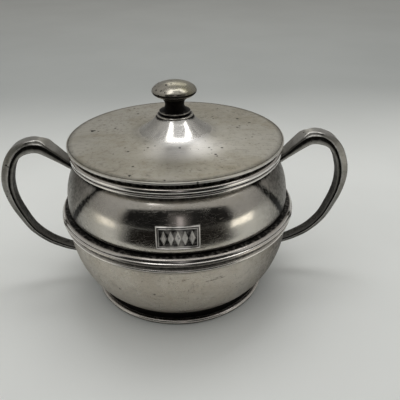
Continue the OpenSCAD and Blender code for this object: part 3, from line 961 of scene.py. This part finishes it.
def make_bezel():
    t = 0.9 * MM
    skirt = 36.5 * MM
    seat = MOUTH.high + 0.05 * MM
    under = LID_WALL * math.sqrt(1 + LID_FALL**2)
    outline = [(skirt - t, BEZEL.low), (skirt, BEZEL.low), (skirt, seat), (BEZEL.r, seat),
               (BEZEL.r, lid_height(BEZEL.r) - under), (BEZEL.r - t, lid_height(BEZEL.r - t) - under),
               (BEZEL.r - t, seat + 0.8 * MM), (skirt - t, seat + 0.8 * MM)]

    # Painted shade on the strip under the lid
    def grime_and_painted_shade(r, z):
        return 0.95 if r > skirt + 0.2 * MM else 0.25

    turned_piece("lid_bezel_strip", outline, MOULDING_METAL, "lid", ["lid_bezel"], "lid_silver", grime_and_painted_shade)


def make_knob():
    mid, down = 82.5 * MM, 2.9 * MM
    up = KNOB.high - mid
    base_z, base_r, edge_z = KNOB.low, 6 * MM, KNOB.low + 0.5 * MM
    under_r = 6.2 * MM
    under_z = mid - down * math.sqrt(1 - (under_r / KNOB.r) ** 2)
    stem_r = 3.6 * MM
    stem = [(base_r - 0.3 * MM, edge_z + 0.4 * MM), (stem_r - 0.6 * MM, edge_z + 0.9 * MM),
            (stem_r - 0.9 * MM, under_z - 1.4 * MM), (under_r, under_z)]
    start = -math.degrees(math.acos(under_r / KNOB.r))
    ball = [(KNOB.r * math.cos(a), mid + (up if a > 0 else down) * math.sin(a))
            for a in np.radians(np.linspace(start, 90, 49)[1:])]
    ball[-1] = (0.0, KNOB.high)
    outline = ([(STUD.r, base_z), (base_r - 0.4 * MM, base_z), (base_r, edge_z - 0.1 * MM),
                (base_r, edge_z + 0.1 * MM)] + side(bezier(stem, 30)) + ball
               + [(0.0, STUD.high), (STUD.r, STUD.high)])

    stem_z, lip_z, shine_z = 77.3 * MM, mid - 0.35 * MM, under_z + 0.5 * MM

    def grime_and_painted_shade(r, z):
        """Black stem, a black line below the ball's widest place, and a black foot."""
        black_stem = 1.8 * near(z, stem_z, 4.4 * MM) if r < 6.15 * MM else 0.0
        lip = 1.3 * near(z, lip_z, 0.75 * MM) if r > 7 * MM else 0.0
        return max(black_stem, lip, 0.9 * near(z, base_z, 0.5 * MM))

    # Bright lines on the foot's edge and under the ball: wear and painted highlight
    def wear_and_painted_highlight(r, z):
        edge = 0.8 * near(z, edge_z, 0.35 * MM) if r > base_r - 0.4 * MM else 0.0
        return max(edge, 0.6 * near(z, shine_z, 0.45 * MM) if r > 6.3 * MM else 0.0)

    # Darker toward the sides of the ball
    def darkened_sides(angle, z, r):
        return 0.30 * limited((abs(angle) - 35) / 50) if z > under_z else 0.0

    turned_piece("knob_cast", outline, KNOB_METAL, "lid", ["knob"], "knob_silver", grime_and_painted_shade, wear_and_painted_highlight,
                 around=darkened_sides, segments=160, wobble=0.09 * MM, waves=520)


def make_collar():
    """Stepped collar between the lid and the knob."""
    bore, step_r, step_z = STUD.r + 0.1 * MM, COLLAR.r - 2 * MM, SHELL.high + 0.75 * MM
    outline = ([(bore, COLLAR.low), (COLLAR.r - 0.2 * MM, COLLAR.low)]
               + arc((COLLAR.r - 0.35 * MM, step_z - 0.38 * MM), 0.35 * MM, -60, 85, 10)
               + [(step_r, step_z), (step_r - 0.1 * MM, COLLAR.high), (bore, COLLAR.high)])

    # Painted shade on the step and at the collar's foot
    def grime_and_painted_shade(r, z):
        return max(1.4 * near(r, step_r, 1.6 * MM), 1.3 * near(z, COLLAR.low, 0.35 * MM))

    # Painted highlight along the collar's edge
    def wear_and_painted_highlight(r, z):
        return 0.7 * near(r, COLLAR.r - 0.1 * MM, 0.5 * MM)

    # Painted dark reflection on the sides, over a little tarnish
    def darkened_sides(angle, z, r):
        return 0.05 + 0.75 * limited(abs(angle) / 60)

    turned_piece("knob_stepped_collar", outline, KNOB_METAL, "lid", ["knob_collar"], "knob_silver", grime_and_painted_shade,
                 wear_and_painted_highlight, around=darkened_sides, radius=0.06 * MM, segments=128)


def polar_piece(name, profile, segments, material, body, nodes, slot):
    """A piece whose closed outline of radius and height changes with the angle about Z."""
    vertices, faces = [], []
    for k in range(segments):
        a = 2 * math.pi * k / segments
        outline = profile(a)
        vertices += [Vector((r * math.cos(a), r * math.sin(a), z)) for r, z in outline]
    count = len(outline)
    for k in range(segments):
        here, there = count * k, count * ((k + 1) % segments)
        for i in range(count):
            m = (i + 1) % count
            faces.append((here + i, there + i, there + m, here + m))
    add_piece(name, vertices, faces, material, body, nodes, slot, sharp=28)


def make_fastening():
    """Threaded stud, bevelled washer and chamfered hexagon nut that hold the knob, under the lid."""
    pitch, thread_depth, core = 0.6 * MM, 0.24 * MM, 0.02 * MM
    levels = np.arange(STUD.low + 0.3 * MM, STUD.high - 0.05 * MM, 0.075 * MM)

    def stud(a):
        outline = [(core, STUD.low), (STUD.r - 0.35 * MM, STUD.low)]
        for z in levels:
            phase = (z / pitch - a / (2 * math.pi)) % 1
            outline.append((STUD.r - thread_depth * abs(2 * phase - 1), z))
        return outline + [(STUD.r - 0.3 * MM, STUD.high), (core, STUD.high)]

    polar_piece("knob_stud_threaded", stud, 64, BRASS_METAL, "lid", ["knob_stud"], "stud_brass")
    flat_to_flat = NUT.r * math.cos(math.pi / 6)
    face_r, slope, bore = flat_to_flat - 0.05 * MM, math.tan(math.radians(30)), STUD.r

    def nut(a):
        hexagon = flat_to_flat / math.cos((a % (math.pi / 3)) - math.pi / 6)
        drop = (hexagon - face_r) * slope
        return [(bore, NUT.low + 0.2 * MM), (bore + 0.2 * MM, NUT.low), (face_r, NUT.low),
                (hexagon, NUT.low + drop), (hexagon, NUT.high - drop), (face_r, NUT.high),
                (bore + 0.1 * MM, NUT.high), (bore, NUT.high - 0.1 * MM)]

    polar_piece("knob_hex_nut", nut, 72, BRASS_METAL, "lid", ["knob_nut"], "stud_brass")
    inner = STUD.r + 0.1 * MM
    outline = [(inner, WASHER.low), (WASHER.r, WASHER.low), (WASHER.r, WASHER.high), (inner, WASHER.high)]
    turned_piece("knob_flat_washer", outline, BRASS_METAL, "lid", ["knob_washer"], "stud_brass",
                 radius=0.16 * MM, segments=96, wobble=0.02 * MM, waves=300)


make_lower_body()
make_upper_body()
make_girdle()
make_mouth()
make_neck_bead()
make_foot()
make_handle("handle_right_cast", "handle_right", 1)
make_handle("handle_left_cast", "handle_left", -1)
make_badge()
make_lid()
make_lid_wire()
make_bezel()
make_knob()
make_collar()
make_fastening()

# -------- floor and light


# The table top by the bowl, behind it, and far behind it; the greyer ones are a painted fall-off of the light
TABLE_NEAR = (0.765, 0.78, 0.76)
TABLE_FAR = (0.395, 0.41, 0.40)
TABLE_END = (0.49, 0.50, 0.48)


def floor_material():
    """Pale matt table top that turns greyer a hand's breadth behind the bowl, a painted fall-off of the
    light.
    """
    material, n = new_material("floor_paint")
    coords = n.position()
    back = n.axes(coords)[1]
    shade = n.mix(n.ramp(back, 0.08, 0.30), TABLE_NEAR, TABLE_FAR)
    shade = n.mix(n.ramp(back, 0.30, 1.0), shade, TABLE_END)
    cloud = n.ramp(n.noise(coords, 9.0, 3.0), 0.3, 0.7, 0.97, 1.02)
    scaled = n.add("ShaderNodeVectorMath", {0: shade, "Scale": cloud}, operation="SCALE")
    n.finish(scaled.outputs[0], 0.55, specular=0.25)
    return material


def make_floor():
    mesh = bpy.data.meshes.new("floor")
    size = 3.0
    corners = [(-size, -size, 0), (size, -size, 0), (size, size, 0), (-size, size, 0)]
    mesh.from_pydata(corners, [], [(0, 1, 2, 3)])
    mesh.materials.append(floor_material())
    floor = new_object("floor", mesh)


def soft_light(name, where, aim, size, radiance, colour=(1, 1, 1), reflected=True):
    """Rectangular light that the camera doesn't see, nor the metal unless it is reflected."""
    data = bpy.data.lights.new(name, "AREA")
    data.shape = "RECTANGLE"
    data.size, data.size_y = size
    data.energy = radiance * math.pi * size[0] * size[1]
    data.color = colour
    light = new_object(name, data)
    light.location = where
    light.rotation_euler = (Vector(aim) - Vector(where)).to_track_quat("-Z", "Y").to_euler()
    light.visible_camera = False
    light.visible_glossy = reflected


def add_card(name, vertices, faces, cover, level, colour=(1, 1, 1)):
    """Glowing sheet that shows only as a reflection in the metal; cover is its opacity at each vertex."""
    mesh = bpy.data.meshes.new(name)
    mesh.from_pydata(vertices, [], faces)
    mesh.attributes.new("cover", "FLOAT", "POINT").data.foreach_set("value", np.asarray(cover, np.float32))
    material, n = new_material(name)
    glow = n.add("ShaderNodeEmission", {"Color": (*colour, 1), "Strength": level}).outputs[0]
    clear = n.add("ShaderNodeBsdfTransparent").outputs[0]
    n.output(n.add("ShaderNodeMixShader", {0: n.attribute("cover"), 1: clear, 2: glow}))
    mesh.materials.append(material)
    card = new_object(name, mesh)
    for ray in ("camera", "diffuse", "shadow", "transmission"):
        setattr(card, "visible_" + ray, False)


def reflected_card(name, corners, level, colour=(1, 1, 1), soft=0.12):
    """Four-cornered card with a faded border; soft is the border's width as a share of the card."""
    steps = 20
    c0, c1, c2, c3 = (Vector(c) for c in corners)
    vertices, cover = [], []
    for j in range(steps + 1):
        for i in range(steps + 1):
            u, v = i / steps, j / steps
            vertices.append((c0.lerp(c1, u)).lerp(c3.lerp(c2, u), v))
            cover.append(eased(min(u, 1 - u, v, 1 - v) / soft))
    add_card(name, vertices, grid_faces(steps, steps), cover, level, colour)


def make_world():
    """Evenly lit grey room, a little brighter overhead."""
    world = bpy.data.worlds.new("room")
    SCENE.world = world
    world.use_nodes = True
    n = Nodes(world.node_tree)
    height = n.axes(n.add("ShaderNodeTexCoord").outputs["Generated"])[2]
    level = n.ramp(height, 0.0, 0.9, 0.34, 0.42)
    shine = n.add("ShaderNodeBackground", {"Color": (1.0, 0.99, 0.96, 1), "Strength": level})
    n.output(shine, "ShaderNodeOutputWorld")


def upright_card(name, y, left, right, low, high, level, colour, soft):
    """Upright card that faces the bowl."""
    corners = [(left, y, low), (right, y, low), (right, y, high), (left, y, high)]
    reflected_card(name, corners, level, colour, soft)


def make_dark_front():
    """Dark clothes beyond the table's front edge, the hands and a gap in them, and the shade they throw."""
    start, sweep = math.radians(-58), math.radians(112)
    near_r, depth = 0.092, 0.40
    columns, rows = 24, 12
    vertices, cover = [], []
    for j in range(rows + 1):
        for i in range(columns + 1):
            u, v = i / columns, j / rows
            angle = start + sweep * u
            radius = near_r + 0.012 * angle**2 + depth * v * v
            vertices.append((radius * math.sin(angle), -radius * math.cos(angle), 0.001))
            cover.append(eased(min(min(u, 1 - u) / 0.16, v / 0.12)))
    add_card("table_shade", vertices, grid_faces(columns, rows), cover, 0.012, (1.0, 0.9, 0.8))
    far, top = -0.34, 0.37
    reflected_card("clothes", [(-0.56, far, -0.02), (0.52, far, -0.02), (0.46, far, top), (-0.50, far, top)],
                   0.010, soft=0.14)
    upright_card("hands", far + 0.010, -0.070, 0.070, 0.00, 0.75 * top, 0.12, (1.0, 0.95, 0.92), 0.35)
    upright_card("gap", far + 0.015, -0.016, 0.030, 0.02, 0.21, 0.60, (1.0, 0.93, 0.95), 0.35)


make_floor()
make_world()
make_dark_front()
soft_light("ceiling", (0.0, 0.0, 0.70), (0, 0, 0), (1.2, 0.8), 0.62, reflected=False)
soft_light("ceiling_back", (0.03, 0.20, 0.70), (0.03, 0.20, 0), (0.40, 0.20), 5.0, reflected=False)
soft_light("window_behind", (0.05, 0.62, 0.50), (0, 0, 0.07), (0.30, 0.20), 1.0, (1.0, 0.98, 0.90))
for card_name, card_z, card_corners, card_level, card_soft in (
        ("bright_ceiling", 0.70, ((-0.36, -0.46), (0.72, -0.16), (0.19, 0.28), (-0.13, 0.24)), 2.4, 0.04),
        ("frame_right", 0.72, ((0.60, 0.10), (0.67, 0.16), (0.40, 0.40), (0.34, 0.35)), 0.06, 0.3),
        ("frame_left", 0.72, ((-0.50, 0.05), (-0.40, 0.05), (-0.28, 0.36), (-0.40, 0.36)), 0.12, 0.4),
        ("ceiling_lamp", 0.45, ((-0.070, -0.24), (0.27, -0.13), (0.095, 0.05), (-0.030, 0.02)), 0.50, 0.06)):
    reflected_card(card_name, [(*corner, card_z) for corner in card_corners], card_level, soft=card_soft)
reflected_card("left_shine", [(-0.168, -0.038, 0.001), (-0.150, -0.112, 0.001), (-0.290, -0.186, 0.032),
                              (-0.330, -0.040, 0.032)], 1.15, (1.0, 0.965, 0.87), 0.2)
reflected_card("right_shine", [(0.165, -0.066, 0.001), (0.130, -0.142, 0.001), (0.250, -0.243, 0.032),
                               (0.325, -0.092, 0.032)], 1.7, (1.0, 0.965, 0.87), 0.2)

SCENE.view_settings.view_transform = "Standard"
SCENE.view_settings.look = "None"
SCENE.view_settings.exposure = 0.0

bpy.context.view_layer.update()
